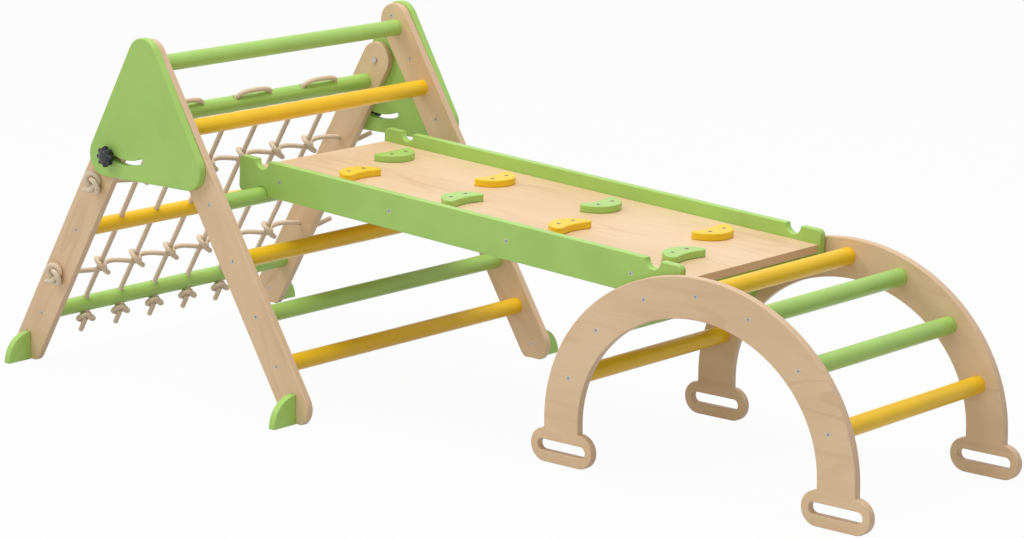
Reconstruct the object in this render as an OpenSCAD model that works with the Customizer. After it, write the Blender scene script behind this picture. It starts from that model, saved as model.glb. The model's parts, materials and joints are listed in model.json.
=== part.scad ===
// Folding climbing triangle with a rope net, a reversible climbing ramp and a climbing arch.
// Lengths are in millimetres and angles in degrees.
// X runs from the net to the arch, Y across the rungs and Z up from the floor.

/* [Boards and rungs] */
// Thickness of every plywood board
ply = 18; // [15:1:21]
// Diameter of every rung
rung_d = 38; // [30:1:40]

/* [Triangle] */
// Width over the outer faces of the ladder legs
triangle_w = 800; // [720:10:900]
// Width of a leg
leg_w = 86; // [78:1:90]
// Length of a ladder leg along its centre line, from the floor to its top
ladder_len = 925; // [900:5:960]
// Lean of the ladder legs from upright
ladder_lean = 31.5; // [29:0.5:34]
// Lean of the net legs from upright
net_lean = 31.5; // [29:0.5:34]
// Depth that the floor cuts off the round lower end of a leg
sole_cut = 7; // [4:1:12]
// Distance of the fold pivot below the top of the ladder leg
pivot_drop = 95; // [90:1:105]
// Distance of the fold pivot from the centre line of the ladder leg
pivot_set = 104; // [98:1:112]
// Radius of the quarter-round foot plates
foot_r = 67; // [60:1:80]
// Places of the ladder rungs from the top down, as shares of the leg's length
ladder_rung_shares = [0.936, 0.764, 0.5675, 0.4215, 0.278, 0.15]; // [0:0.001:1]
// Places of the net rungs from the top down, as shares of the way from the floor to the pivot
net_rung_shares = [0.916, 0.507, 0.18]; // [0:0.001:1]

/* [Fold plates and knobs] */
// Width of a fold plate beyond the edges of the legs
gusset_margin = 4; // [2:1:8]
// Distance of the plate's ladder-side lower corner below the top of the ladder leg
gusset_drop = 308; // [300:1:322]
// Distance of the plate's ladder-side corner from the centre line of the ladder leg
gusset_ladder_set = 8; // [2:1:12]
// Distance of the plate's net-side lower corner below the fold pivot
gusset_net_drop = 152; // [146:1:160]
// Distance of the plate's net-side corner from the centre line of the net leg
gusset_net_set = 5; // [2:1:14]
// Radius of the arc slot round the fold pivot
slot_r = 140; // [134:1:146]
// Angle round the pivot from the net leg's centre line to the clamp bolt
clamp_turn = 9.5; // [6:0.5:12]
// Angle that the net frame folds through
fold_angle = 43; // [38:1:46]
// Diameter of the clamp bolts that run in the arc slots
clamp_d = 8; // [6:1:10]
// Play on each side of a clamp bolt in its slot
slot_play = 1.5; // [1:0.1:2]
// Diameter of the pivot bolts
pivot_d = 8; // [6:1:10]
// Diameter of the head of a pivot bolt
pivot_head_d = 14; // [12:1:18]
// Height of the head of a pivot bolt
pivot_head_h = 4; // [3:0.5:6]
// Outer diameter of the threaded inserts
insert_d = 12; // [11:0.5:14]
// Length of the threaded inserts
insert_len = 13; // [9:0.5:14]
// Diameter of a knob over its lobes
knob_d = 48; // [42:1:52]
// Number of lobes on a knob
knob_lobes = 8; // [6:1:9]
// Height of a knob
knob_h = 25; // [22:1:32]
// Diameter of the collar under a knob
knob_collar_d = 28; // [22:1:34]
// Height of the collar under a knob
knob_collar_h = 7; // [4:1:10]
// Places of the plate screws up the ladder leg, as shares of the leg's length
gusset_screw_shares = [0.97, 0.847, 0.673]; // [0:0.001:1]

/* [Rope net] */
// Diameter of the rope
rope_d = 12; // [10:0.5:12.5]
// Play round a rope in the holes of rungs and legs
rope_play = 0.7; // [0.5:0.1:0.9]
// Distance between neighbouring strands, as a share of the width between the net legs
strand_share = 0.1415; // [0.125:0.0005:0.155]
// Distance of the upper cross rope below the fold pivot
cross_rope_drop = 237.5; // [230:0.5:250]
// Place of the lower cross rope, as a share of the way from the floor to the pivot
cross_rope_share = 0.335; // [0.3:0.005:0.4]
// Distance of the upright rope holes in the bottom rung from its axis
bottom_hole_set = 8; // [6:0.5:9]
// Length of rope that hangs below a knot under the bottom rung
rope_tail = 33; // [20:1:40]

/* [Ramp] */
// Width over the outer faces of the rails
ramp_w = 484; // [460:2:486]
// Length of a rail
rail_len = 1260; // [1230:2:1290]
// Height of a rail
rail_h = 80; // [72:1:90]
// Distance between the rung notches of a rail
notch_span = 1116; // [1080:1:1130]
// Depth of a notch's centre inside the edge of the rail
notch_in = 1; // [0.5:0.5:3]
// Radius of the corners of a rail
rail_corner_r = 12; // [6:1:16]
// Distance of the panel's ends from the ends of the rails
panel_inset = 5; // [1:1:20]
// Thickness of a hold
hold_t = 16; // [12:1:20]
// Length of a hold, across the ramp
hold_len = 113; // [106:1:124]
// Width of a hold
hold_w = 59; // [52:1:64]
// Radius of the ends of a hold
hold_end_r = 12; // [9:1:14]
// Depth of the hollow in the front of a hold
hold_dip = 7; // [4:0.5:10]
// Rows of holds in the far column, as shares of the rail's length
far_hold_shares = [0.126, 0.37, 0.613, 0.856]; // [0:0.001:1]
// Rows of holds in the near column, as shares of the rail's length
near_hold_shares = [0.174, 0.418, 0.661, 0.904]; // [0:0.001:1]
// Distance of the far column of holds from the middle, as a share of the ramp's width
far_column_share = 0.219; // [0.18:0.001:0.26]
// Distance of the near column of holds from the middle, as a share of the ramp's width
near_column_share = 0.195; // [0.16:0.001:0.24]
// Places of the screws along a rail, as shares of its length
rail_screw_shares = [0.101, 0.367, 0.633, 0.899]; // [0:0.001:1]

/* [Arch] */
// Gap between an arch side and the rail of the ramp beside it
arch_side_gap = 5; // [3:1:10]
// Reach of the feet beyond the outer edge of the arch
arch_foot_out = 36; // [30:1:46]
// Half of the arch's width over its straight legs
arch_r = 394; // [380:1:400]
// Width of a leg of an arch side
arch_band = 92; // [82:1:98]
// Width of an arch side at its top
arch_top_band = 86; // [78:1:92]
// Distance of the top of the arch above the centre of its top rung
arch_crown = 38; // [34:1:42]
// Height above the floor at which the straight legs turn into the curve of the arch
arch_spring = 92; // [80:1:104]
// Height of the centre of the circle of rungs above the floor
arch_rise = 55; // [45:1:65]
// Distance of the circle of rungs inside the outer edges of the legs
arch_rung_in = 40; // [36:1:46]
// Angles from upright of the arch rungs on each side of the top one
arch_rung_angles = [21.7, 45.9, 67.8]; // [0:0.1:90]
// Length of a foot
arch_foot_len = 165; // [150:1:180]
// Height of a foot
arch_foot_h = 72; // [66:1:80]
// Length of the hand slot in a foot
hand_slot_len = 127; // [110:1:132]
// Height of the hand slot in a foot
hand_slot_h = 24; // [20:1:30]

/* [Screws] */
// Diameter of a screw's shank
screw_d = 5; // [4:0.5:6]
// Diameter of a screw's countersunk head
screw_head_d = 10; // [8:0.5:12]
// Height of a screw's countersunk head
screw_head_h = 3; // [2.5:0.5:5]
// Length of the screws in the rungs
rung_screw_len = 60; // [50:1:80]
// Length of the screws in the fold plates
gusset_screw_len = 32; // [26:1:32]
// Length of the screws in the triangle's feet
foot_screw_len = 50; // [40:1:55]
// Length of the screws in the holds
hold_screw_len = 28; // [24:1:30]
// Length of the screws in the rails
rail_screw_len = 50; // [40:1:60]

/* [Clearances] */
// Gap round a fixed screw, bolt or insert
fit_gap = 0.1; // [0.05:0.05:0.2]
// Gap round a bolt that something turns on
run_gap = 0.05; // [0.02:0.01:0.1]
// Gap between boards that fold past each other
fold_gap = 0.5; // [0.3:0.1:1]
// Gap between a rung and the notch that hooks over it
hook_gap = 0.4; // [0.3:0.1:1]

/* [Hidden] */
$fn = 64;
// Length that a cut runs past the face that it opens
overrun = 1;
rope_sides = 6;
knot_rings = 40;
hitch_rings = 20;
bend_rings = 6;
loop_rings = 12;
span_rings = 7;
band_steps = 14;
hold_back_steps = 16;
hold_end_steps = 10;
hold_front_steps = 8;
band_end_steps = 16;
corner_steps = 16;
arch_steps = 90;
lobe_steps = 12;
screw_drive_share = 0.45;
screw_drive_deep_share = 0.8;
knob_bore_share = 0.8;
stud_share = 0.7;
knob_lobe_share = 0.26;
// An overhand knot: radius, swing and rise as shares of the rope, and the angle at which its tail leaves
leg_knot = [1.36, 0.58, 0.53, 999];
net_knot = [1.2, 0.54, 0.54, 963];
knot_from = 135;
knot_lead = 180;
knot_winds = 1.5;
knot_base_share = 0.53;
near_knot_turn = -25;
far_knot_turn = 61;
net_knot_turn = 128;
net_knot_hang = 39;
net_neck_share = 0.1;
// Tails of a cross rope, as shares of the rope
near_tail_shares = [-0.92, -0.67, -0.25];
far_tail_shares = [1.67, 2.33, 3.33];
mouth_share = 0.4;
rung_mouth_share = 0.2;
// A strand bends just above the bottom rung, where it turns into the upright hole
bend_lift_share = 0.1;
bend_arm_share = 0.8;
// A loop over the top rung: its rise, and how square its shoulders are
loop_rise_share = 1.5;
loop_sink_share = 0.4;
loop_side_power = 0.75;
loop_top_power = 0.8;
// A hitch passes twice in front of a strand: radii and heights of its passes, and the angles of its changes
hitch_turns = [-10, 450];
hitch_r_shares = [1.06, 2.15, 1.3];
hitch_open = [240, 365];
hitch_close = [378, 440];
hitch_h_shares = [-0.15, 1.2, -1.2];
hitch_climb = [60, 270];
hitch_fall = [300, 425];
// Leads of a cross rope out of a hitch, into the next one, and along the axis at the first
span_out_shares = [-2.2, 0.9, 1.1];
span_in_shares = [0, -3.4, 0.8];
span_first_shares = [0, 2, 0];
rope_near_share = 2.5;
ring_lead = [1, 0.3, 0.2];
hold_screw_share = 0.205;

wood = [0.80, 0.69, 0.54];
green = [0.58, 0.76, 0.38];
yellow = [0.93, 0.73, 0.20];
rope_tan = [0.78, 0.68, 0.55];
black = [0.12, 0.12, 0.12];
steel = [0.62, 0.62, 0.60];
ladder_colours = [green, yellow, green, yellow, green, yellow];
net_colours = [green, yellow, green];
arch_colours = [yellow, green, green, yellow, green, green, yellow];
hold_colours = [green, yellow, yellow, green, green, yellow, yellow, green];

side_y = triangle_w / 2;
inner_y = side_y - ply;
net_y = side_y - fold_gap;
net_inner_y = net_y - ply;
gusset_y = side_y + ply;
gusset_r = leg_w / 2 + gusset_margin;
ladder_end_up = (leg_w / 2 - sole_cut) / cos(ladder_lean);
ladder_top_up = ladder_len - leg_w / 2;
ladder_rung_ups = ladder_len * ladder_rung_shares;
gusset_screw_ups = ladder_len * gusset_screw_shares;

// Places along X are worked out from the ladder's line on the floor, then centred
pivot_up = ladder_len - pivot_drop;
pivot_z = pivot_up * cos(ladder_lean) - pivot_set * sin(ladder_lean);
pivot_run = pivot_up * sin(ladder_lean) + pivot_set * cos(ladder_lean);
net_len = pivot_z / cos(net_lean);
net_run = pivot_run + net_len * sin(net_lean);
net_end_up = (leg_w / 2 - sole_cut) / cos(net_lean);
net_rung_ups = net_len * net_rung_shares;
cross_rope_ups = [net_len - cross_rope_drop, net_len * cross_rope_share];
net_line = 270 - net_lean;
arch_w = ramp_w + 2 * (ply + arch_side_gap);
arch_len = 2 * (arch_r + arch_foot_out);
arch_rung_r = arch_r - arch_rung_in;
arch_h = arch_rise + arch_rung_r + arch_crown;
seat_up = ladder_rung_ups[2];
hook_z = arch_rise + arch_rung_r * cos(arch_rung_angles[0]);
ramp_slope = asin((seat_up * cos(ladder_lean) - hook_z) / notch_span);
hook_run = arch_rung_r * sin(arch_rung_angles[0]);
arch_run = notch_span * cos(ramp_slope) + hook_run - seat_up * sin(ladder_lean);
low_run = net_run - net_end_up * sin(net_lean) + leg_w / 2;
high_run = arch_run + arch_len / 2;
ladder_x = (low_run - high_run) / 2;
net_x = ladder_x - net_run;
arch_x = ladder_x + arch_run;
pivot_x = ladder_x - pivot_run;
clamp_x = pivot_x + slot_r * cos(net_line + clamp_turn);
clamp_z = pivot_z + slot_r * sin(net_line + clamp_turn);
seat_x = ladder_x - seat_up * sin(ladder_lean);
seat_z = seat_up * cos(ladder_lean);

drive_d = screw_head_d * screw_drive_share;
drive_deep = screw_head_h * screw_drive_deep_share;
slot_w = clamp_d + 2 * slot_play;
stud_len = fold_gap + ply + fold_gap + knob_h * stud_share;
notch_r = rung_d / 2 + hook_gap;
notch_inset = (rail_len - notch_span) / 2;
rail_low = -notch_in;
rail_high = rail_h - notch_in;
rail_mid = (rail_low + rail_high) / 2;
panel_top = rail_mid + ply / 2;
panel_w = ramp_w - 2 * ply;
arch_foot_x = (arch_len - arch_foot_len) / 2;
arch_inner_r = arch_r - arch_band;
arch_rung_turns = concat([for (i = [2:-1:0]) arch_rung_angles[i]], 0, -arch_rung_angles);
arch_inner_y = arch_w / 2 - ply;
rope_hole_d = rope_d + 2 * rope_play;
strand_step = 2 * net_inner_y * strand_share;
strand_ys = [for (i = [0:5]) (i - 2.5) * strand_step];
// The upright hole of the bottom rung in the net's frame: its middle, its way down and half its length
plumb = [sin(net_lean), 0, -cos(net_lean)];
bottom_hole = [bottom_hole_set * cos(net_lean), 0, net_rung_ups[2] + bottom_hole_set * sin(net_lean)];
bottom_half = sqrt(pow(rung_d / 2, 2) - pow(bottom_hole_set, 2));
strand_corner = bottom_hole - plumb * (bottom_half + rope_d * bend_lift_share);
strand_out = net_rung_ups[1] - rung_d / 2;

// Frames: along the ladder legs, the net legs and the ramp, and at the arch's centre
module on_ladder(up = 0) {
    translate([ladder_x, 0, 0]) rotate([0, -ladder_lean, 0]) translate([0, 0, up]) children();
}

module on_net(up = 0) {
    translate([net_x, 0, 0]) rotate([0, net_lean, 0]) translate([0, 0, up]) children();
}

module on_ramp() {
    translate([seat_x, 0, seat_z]) rotate([0, ramp_slope, 0]) children();
}

module on_arch() {
    translate([arch_x, 0, arch_rise]) children();
}

module far_side() {
    mirror([0, 1, 0]) children();
}

module both_sides() {
    children();
    far_side() children();
}

// A board from y to y + ply whose outline lies in X and Z
module board(y) {
    translate([0, y + ply, 0]) rotate([90, 0, 0]) linear_extrude(height = ply) children();
}

module along_y() {
    rotate([-90, 0, 0]) children();
}

// Convex outline with every corner rounded by r, corners given anticlockwise
function polar(r, angle) = r * [cos(angle), sin(angle)];
function heading(v) = atan2(-v[0], v[1]);
function swing(a, b) = (b - a + 720) % 360;
function rounded_points(corners, r) = let (count = len(corners))
    [for (i = [0:count - 1])
        let (a = heading(corners[i] - corners[(i + count - 1) % count]),
             turn = swing(a, heading(corners[(i + 1) % count] - corners[i])))
        for (k = [0:corner_steps]) corners[i] + polar(r, a + turn * k / corner_steps)];

// Band of half width w along an arc of radius r from angle a to angle b, with round ends
function band_points(r, w, a, b) = concat(
    [for (i = [0:band_steps]) polar(r + w, a + (b - a) * i / band_steps)],
    [for (i = [1:band_end_steps - 1]) polar(r, b) + polar(w, b + 180 * i / band_end_steps)],
    [for (i = [0:band_steps]) polar(r - w, b + (a - b) * i / band_steps)],
    [for (i = [1:band_end_steps - 1]) polar(r, a) + polar(w, a + 180 + 180 * i / band_end_steps)]);

module stadium(length, height) {
    reach = (length - height) / 2;
    square([2 * reach, height], center = true);
    for (s = [-1, 1]) translate([s * reach, 0]) circle(d = height);
}

// Countersunk screw along +Y with its head's face at y = 0
module screw(length) {
    along_y() difference() {
        union() {
            cylinder(d1 = screw_head_d, d2 = screw_d, h = screw_head_h);
            cylinder(d = screw_d, h = length);
        }
        translate([0, 0, -overrun]) cylinder(d = drive_d, h = overrun + drive_deep, $fn = 6);
    }
}

module screw_hole(length) {
    along_y() {
        translate([0, 0, -overrun]) cylinder(d = screw_head_d + 2 * fit_gap, h = overrun);
        cylinder(d1 = screw_head_d + 2 * fit_gap, d2 = screw_d + 2 * fit_gap, h = screw_head_h);
        cylinder(d = screw_d + 2 * fit_gap, h = length + fit_gap);
    }
}

module turned_back() {
    rotate([0, 0, 180]) children();
}

// Places of the near side's screws, each with its length
module at_ladder_rung(i) {
    on_ladder(ladder_rung_ups[i]) translate([0, -side_y, 0]) children();
}

module at_gusset_screws() {
    for (up = gusset_screw_ups) on_ladder(up) translate([0, -inner_y, 0]) turned_back() children();
}

module at_ladder_foot() {
    on_ladder(ladder_end_up) translate([0, -inner_y, 0]) rotate([0, ladder_lean, 0]) turned_back() children();
}

module at_net_rung(i) {
    on_net(net_rung_ups[i]) translate([0, -net_y, 0]) children();
}

module at_net_foot() {
    on_net(net_end_up) translate([0, -net_inner_y, 0]) rotate([0, -net_lean, 0]) turned_back() children();
}

module at_pivot(y) {
    translate([pivot_x, y, pivot_z]) children();
}

module at_clamp(y) {
    translate([clamp_x, y, clamp_z]) rotate([0, net_lean, 0]) children();
}

module at_rail_screws() {
    for (s = rail_screw_shares)
        on_ramp() translate([rail_len * s - notch_inset, -ramp_w / 2, rail_mid]) children();
}

module at_arch_rung(i) {
    on_arch() rotate([0, arch_rung_turns[i], 0]) translate([0, 0, arch_rung_r]) children();
}

// A leg with round ends; turn is the lean of its frame against the floor that cuts it
module leg_outline(end_up, top_up, turn) {
    difference() {
        union() {
            translate([-leg_w / 2, end_up]) square([leg_w, top_up - end_up]);
            translate([0, end_up]) circle(d = leg_w);
            translate([0, top_up]) circle(d = leg_w);
        }
        rotate(turn) translate([-leg_w, -leg_w]) square([2 * leg_w, leg_w]);
    }
}

module rod(half) {
    translate([0, -half, 0]) along_y() cylinder(d = rung_d, h = 2 * half);
}

module ladder_leg() {
    color(wood) difference() {
        on_ladder() board(-side_y) leg_outline(ladder_end_up, ladder_top_up, -ladder_lean);
        for (i = [0:5]) at_ladder_rung(i) screw_hole(rung_screw_len);
        at_gusset_screws() screw_hole(gusset_screw_len);
        at_ladder_foot() screw_hole(foot_screw_len);
    }
}

module ladder_rung(i) {
    color(ladder_colours[i]) difference() {
        on_ladder(ladder_rung_ups[i]) rod(inner_y);
        both_sides() at_ladder_rung(i) screw_hole(rung_screw_len);
    }
}

// The arc slot round the pivot, with the clamp bolt at its left end when the net leg is open
module slot_outline() {
    open_end = net_line + clamp_turn;
    polygon(band_points(slot_r, slot_w / 2, open_end, open_end + fold_angle));
}

module gusset() {
    foot_up = ladder_len - gusset_drop;
    top = [ladder_x - ladder_top_up * sin(ladder_lean), ladder_top_up * cos(ladder_lean)];
    net_corner_up = net_len - gusset_net_drop;
    net_corner = [net_x + net_corner_up * sin(net_lean) + gusset_net_set * cos(net_lean),
                  net_corner_up * cos(net_lean) - gusset_net_set * sin(net_lean)];
    ladder_corner = [ladder_x - foot_up * sin(ladder_lean) - gusset_ladder_set * cos(ladder_lean),
                     foot_up * cos(ladder_lean) - gusset_ladder_set * sin(ladder_lean)];
    color(green) difference() {
        board(-gusset_y) difference() {
            polygon(rounded_points([top, net_corner, ladder_corner], gusset_r));
            translate([pivot_x, pivot_z]) slot_outline();
        }
        at_gusset_screws() screw_hole(gusset_screw_len);
        at_pivot(-side_y) turned_back() along_y() translate([0, 0, -overrun])
            cylinder(d = insert_d + 2 * fit_gap, h = overrun + insert_len + fit_gap);
    }
}

// Quarter-round outrigger whose flat back stands against the outer face of a leg
module foot_plate(x, y) {
    translate([x - ply / 2, -y, 0]) rotate([90, 0, 90]) linear_extrude(height = ply) intersection() {
        circle(r = foot_r);
        translate([-foot_r, 0]) square(foot_r);
    }
}

module ladder_foot() {
    color(green) difference() {
        foot_plate(ladder_x - ladder_end_up * sin(ladder_lean), side_y);
        at_ladder_foot() screw_hole(foot_screw_len);
    }
}

module ladder_rung_screws() {
    color(steel) both_sides() for (i = [0:5]) at_ladder_rung(i) screw(rung_screw_len);
}

module gusset_screws() {
    color(steel) both_sides() at_gusset_screws() screw(gusset_screw_len);
}

module ladder_foot_screws() {
    color(steel) both_sides() at_ladder_foot() screw(foot_screw_len);
}

module pivot_bolts() {
    shank = fold_gap + ply + fold_gap + insert_len - fit_gap;
    color(steel) both_sides() at_pivot(fold_gap - net_inner_y) {
        turned_back() along_y() cylinder(d = pivot_d, h = shank);
        along_y() cylinder(d = pivot_head_d, h = pivot_head_h);
    }
}

module insert_sleeve(bolt) {
    along_y() difference() {
        cylinder(d = insert_d, h = insert_len);
        translate([0, 0, -overrun]) cylinder(d = bolt + 2 * fit_gap, h = insert_len + 2 * overrun);
    }
}

module pivot_inserts() {
    color(steel) both_sides() at_pivot(-side_y) turned_back() insert_sleeve(pivot_d);
}

// The rope holes of a net leg have eased mouths on its outer face
module net_leg() {
    color(wood) difference() {
        on_net() board(-net_y) leg_outline(net_end_up, net_len, net_lean);
        for (i = [0:2]) at_net_rung(i) screw_hole(rung_screw_len);
        at_net_foot() screw_hole(foot_screw_len);
        at_pivot(-net_y - overrun) along_y() cylinder(d = pivot_d + 2 * run_gap, h = ply + 2 * overrun);
        at_clamp(-net_y) along_y() translate([0, 0, -overrun])
            cylinder(d = insert_d + 2 * fit_gap, h = overrun + insert_len + fit_gap);
        for (up = cross_rope_ups) on_net(up) translate([0, -net_y, 0]) along_y() {
            translate([0, 0, -overrun]) cylinder(d = rope_hole_d, h = ply + 2 * overrun);
            translate([0, 0, rope_d * mouth_share - rope_hole_d / 2])
                cylinder(d1 = 2 * rope_hole_d, d2 = rope_hole_d, h = rope_hole_d / 2);
        }
    }
}

// A net rung is drilled through for every strand, upright in the bottom one; top and bottom have eased mouths
module net_rung(i) {
    color(net_colours[i]) difference() {
        on_net(net_rung_ups[i]) rod(net_inner_y);
        both_sides() at_net_rung(i) screw_hole(rung_screw_len);
        for (y = strand_ys) {
            if (i < 2) on_net(net_rung_ups[i]) translate([0, y, -rung_d])
                cylinder(d = rope_hole_d, h = 2 * rung_d);
            if (i == 0) on_net(net_rung_ups[i]) translate([0, y, rung_d / 2 - rope_d * loop_sink_share])
                cylinder(d1 = rope_hole_d, d2 = 2 * rope_hole_d, h = rope_hole_d / 2);
            if (i == 2) on_net() translate(bottom_hole) rotate([0, -net_lean, 0]) translate([0, y, 0]) {
                translate([0, 0, -rung_d]) cylinder(d = rope_hole_d, h = 2 * rung_d);
                for (side = [0, 180])
                    rotate([side, 0, 0]) translate([0, 0, bottom_half - rope_d * rung_mouth_share])
                        cylinder(d1 = rope_hole_d, d2 = 2 * rope_hole_d, h = rope_hole_d / 2);
            }
        }
    }
}

module net_foot() {
    color(green) difference() {
        foot_plate(net_x + net_end_up * sin(net_lean), net_y);
        at_net_foot() screw_hole(foot_screw_len);
    }
}

module net_rung_screws() {
    color(steel) both_sides() for (i = [0:2]) at_net_rung(i) screw(rung_screw_len);
}

module net_foot_screws() {
    color(steel) both_sides() at_net_foot() screw(foot_screw_len);
}

module clamp_inserts() {
    color(steel) both_sides() at_clamp(-net_y) insert_sleeve(clamp_d);
}

module clamp_bolts() {
    color(steel) both_sides() at_clamp(insert_len - net_y) turned_back() along_y()
        cylinder(d = clamp_d, h = insert_len + stud_len);
}

// Lobed knob with its collar towards the fold plate
module knob() {
    steps = knob_lobes * lobe_steps;
    outline = [for (i = [0:steps - 1]) let (a = 360 * i / steps)
        polar(knob_d / 2 * (1 - knob_lobe_share * (1 - cos(knob_lobes * a)) / 2), a)];
    color(black) at_clamp(-gusset_y - fold_gap) turned_back() along_y() difference() {
        union() {
            cylinder(d = knob_collar_d, h = knob_collar_h + overrun);
            translate([0, 0, knob_collar_h]) linear_extrude(height = knob_h - knob_collar_h) polygon(outline);
        }
        translate([0, 0, -overrun])
            cylinder(d = clamp_d + 2 * run_gap, h = overrun + knob_h * knob_bore_share);
    }
}

// Rope: a tube swept along points, with rings carried along without twist
function unit(v) = v / norm(v);
function tangents(p) = [for (i = [0:len(p) - 1]) unit(p[min(i + 1, len(p) - 1)] - p[max(i - 1, 0)])];
function square_to(n, t) = unit(n - (n * t) * t);
function normals(t) = [for (i = 0, n = square_to(ring_lead, t[0]); i < len(t);
                            i = i + 1, n = i < len(t) ? square_to(n, t[i]) : n) n];

module tube(p, d) {
    t = tangents(p);
    n = normals(t);
    s = rope_sides;
    last = (len(p) - 1) * s;
    ring = [for (i = [0:len(p) - 1], k = [0:s - 1])
        p[i] + d / 2 * (cos(360 * k / s) * n[i] + sin(360 * k / s) * cross(t[i], n[i]))];
    sides = [for (i = [0:len(p) - 2], k = [0:s - 1]) let (a = i * s + k, b = i * s + (k + 1) % s)
        each [[a, a + s, b + s], [a, b + s, b]]];
    caps = [for (k = [1:s - 2]) each [[0, k, k + 1], [last, last + k + 1, last + k]]];
    polyhedron(points = ring, faces = concat(sides, caps));
}

function reversed(p) = [for (i = [len(p) - 1:-1:0]) p[i]];

// Overhand knot on the axis out from start, with u and v across it and its tail at the end
function knot(start, out, u, v, turn, tail, shape) =
    let (rings = [for (i = [0:knot_rings])
        let (a = knot_from + (shape[3] - knot_from) * i / knot_rings, w = turn + (a - knot_lead) / knot_winds,
             r = shape[0] + shape[1] * cos(a), h = shape[2] * (1 - sin(a)) + knot_base_share)
        start + rope_d * (h * out + r * cos(w) * u + r * sin(w) * v)])
    concat([start], rings, [rings[knot_rings] + tail]);

// Lower end of a strand: a bend into the upright hole of the bottom rung, the hole, a knot and a tail
function strand_end(y) =
    let (place = [0, y, 0], corner = strand_corner + place, arm = rope_d * bend_arm_share,
         from = corner + arm * unit([0, y, strand_out] - corner), to = corner + arm * plumb,
         neck = bottom_hole + plumb * (bottom_half + rope_d * net_neck_share) + place, hang = net_knot_hang)
    concat(
        [[0, y, strand_out]],
        [for (i = [0:bend_rings]) let (t = i / bend_rings)
            pow(1 - t, 2) * from + 2 * t * (1 - t) * corner + t * t * to],
        knot(neck, [sin(hang), 0, -cos(hang)], [cos(hang), 0, sin(hang)], [0, 1, 0],
             net_knot_turn, [0, 0, -rope_tail], net_knot));

// One U of the net: up a strand, over the top rung and down its neighbour
function net_rope_points(y0, y1) =
    let (mid = (y0 + y1) / 2, half = (y1 - y0) / 2, rise = rope_d * loop_rise_share,
         top = net_rung_ups[0] + rung_d / 2 - rope_d * loop_sink_share)
    concat(
        reversed(strand_end(y0)),
        [for (i = [0:loop_rings]) let (a = 180 * i / loop_rings, c = cos(a))
            [0, mid - half * sign(c) * pow(abs(c), loop_side_power),
             top + rise * pow(sin(a), loop_top_power)]],
        strand_end(y1));

// Offset of a strand from the net's middle plane at a place along the net legs
function strand_x(up) = up > strand_out ? 0
    : strand_corner[0] * (strand_out - up) / (strand_out - strand_corner[2]);

// Share of the way from one angle of a range to the other, eased at both ends
function eased(a, range) =
    let (t = min(1, max(0, (a - range[0]) / (range[1] - range[0])))) t * t * (3 - 2 * t);

// Value that changes from the first share to the second in one range of angles and to the third in another
function staged(a, shares, rise, fall) = shares[0] + (shares[1] - shares[0]) * eased(a, rise)
    + (shares[2] - shares[1]) * eased(a, fall);

// Hitch of a cross rope round a strand: two passes in front of it, the second across the first
function hitch(place) = [for (i = [0:hitch_rings])
    let (a = hitch_turns[0] + (hitch_turns[1] - hitch_turns[0]) * i / hitch_rings,
         r = staged(a, hitch_r_shares, hitch_open, hitch_close),
         h = staged(a, hitch_h_shares, hitch_climb, hitch_fall))
    place + rope_d * [r * cos(a), r * sin(a), h]];

// Bowed stretch between two points, with a lead at each
function bowed(a, b, out, into) = [for (i = [1:span_rings - 1]) let (t = i / span_rings, s = 1 - t)
    s * s * s * a + 3 * s * s * t * (a + rope_d * out) + 3 * s * t * t * (b + rope_d * into) + t * t * t * b];

// A cross rope runs through the near leg, round every strand and through the far leg, with a knot at each end
function cross_rope_points(up) =
    let (near = [0, -net_inner_y, up], far = [0, net_inner_y, up],
         turns = [for (y = strand_ys) hitch([strand_x(up), y, up])])
    concat(
        reversed(knot([0, -net_y, up], [0, -1, 0], [0, 0, 1], [1, 0, 0],
                      near_knot_turn, rope_d * near_tail_shares, leg_knot)),
        [near],
        bowed(near, turns[0][0], span_first_shares, -span_first_shares),
        [for (j = [0:5]) each concat(
            turns[j],
            bowed(turns[j][hitch_rings], j == 5 ? far : turns[j + 1][0], span_out_shares, span_in_shares))],
        [far],
        knot([0, net_y, up], [0, 1, 0], [0, 0, 1], [-1, 0, 0],
             far_knot_turn, rope_d * far_tail_shares, leg_knot));

// Least clear space between stretches of a rope that lie more than two and a half diameters apart along it
function lengths_along(p) = [for (i = 0, s = 0; i < len(p);
                                  i = i + 1, s = i < len(p) ? s + norm(p[i] - p[i - 1]) : s) s];
function least_gap(p) = let (s = lengths_along(p), near = rope_d * rope_near_share)
    min([for (i = [0:len(p) - 1], j = [i:len(p) - 1]) if (s[j] - s[i] > near) norm(p[i] - p[j])]) - rope_d;

net_ropes = [for (k = [0:2]) net_rope_points(strand_ys[2 * k], strand_ys[2 * k + 1])];
cross_ropes = [for (up = cross_rope_ups) cross_rope_points(up)];
echo(least_rope_gap = min([for (p = concat(net_ropes, cross_ropes)) least_gap(p)]));
echo(rope_lengths = [for (p = concat(net_ropes, cross_ropes)) lengths_along(p)[len(p) - 1]]);

module net_rope(k) {
    color(rope_tan) on_net() tube(net_ropes[k], rope_d);
}

module cross_rope(k) {
    color(rope_tan) on_net() tube(cross_ropes[k], rope_d);
}

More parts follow.
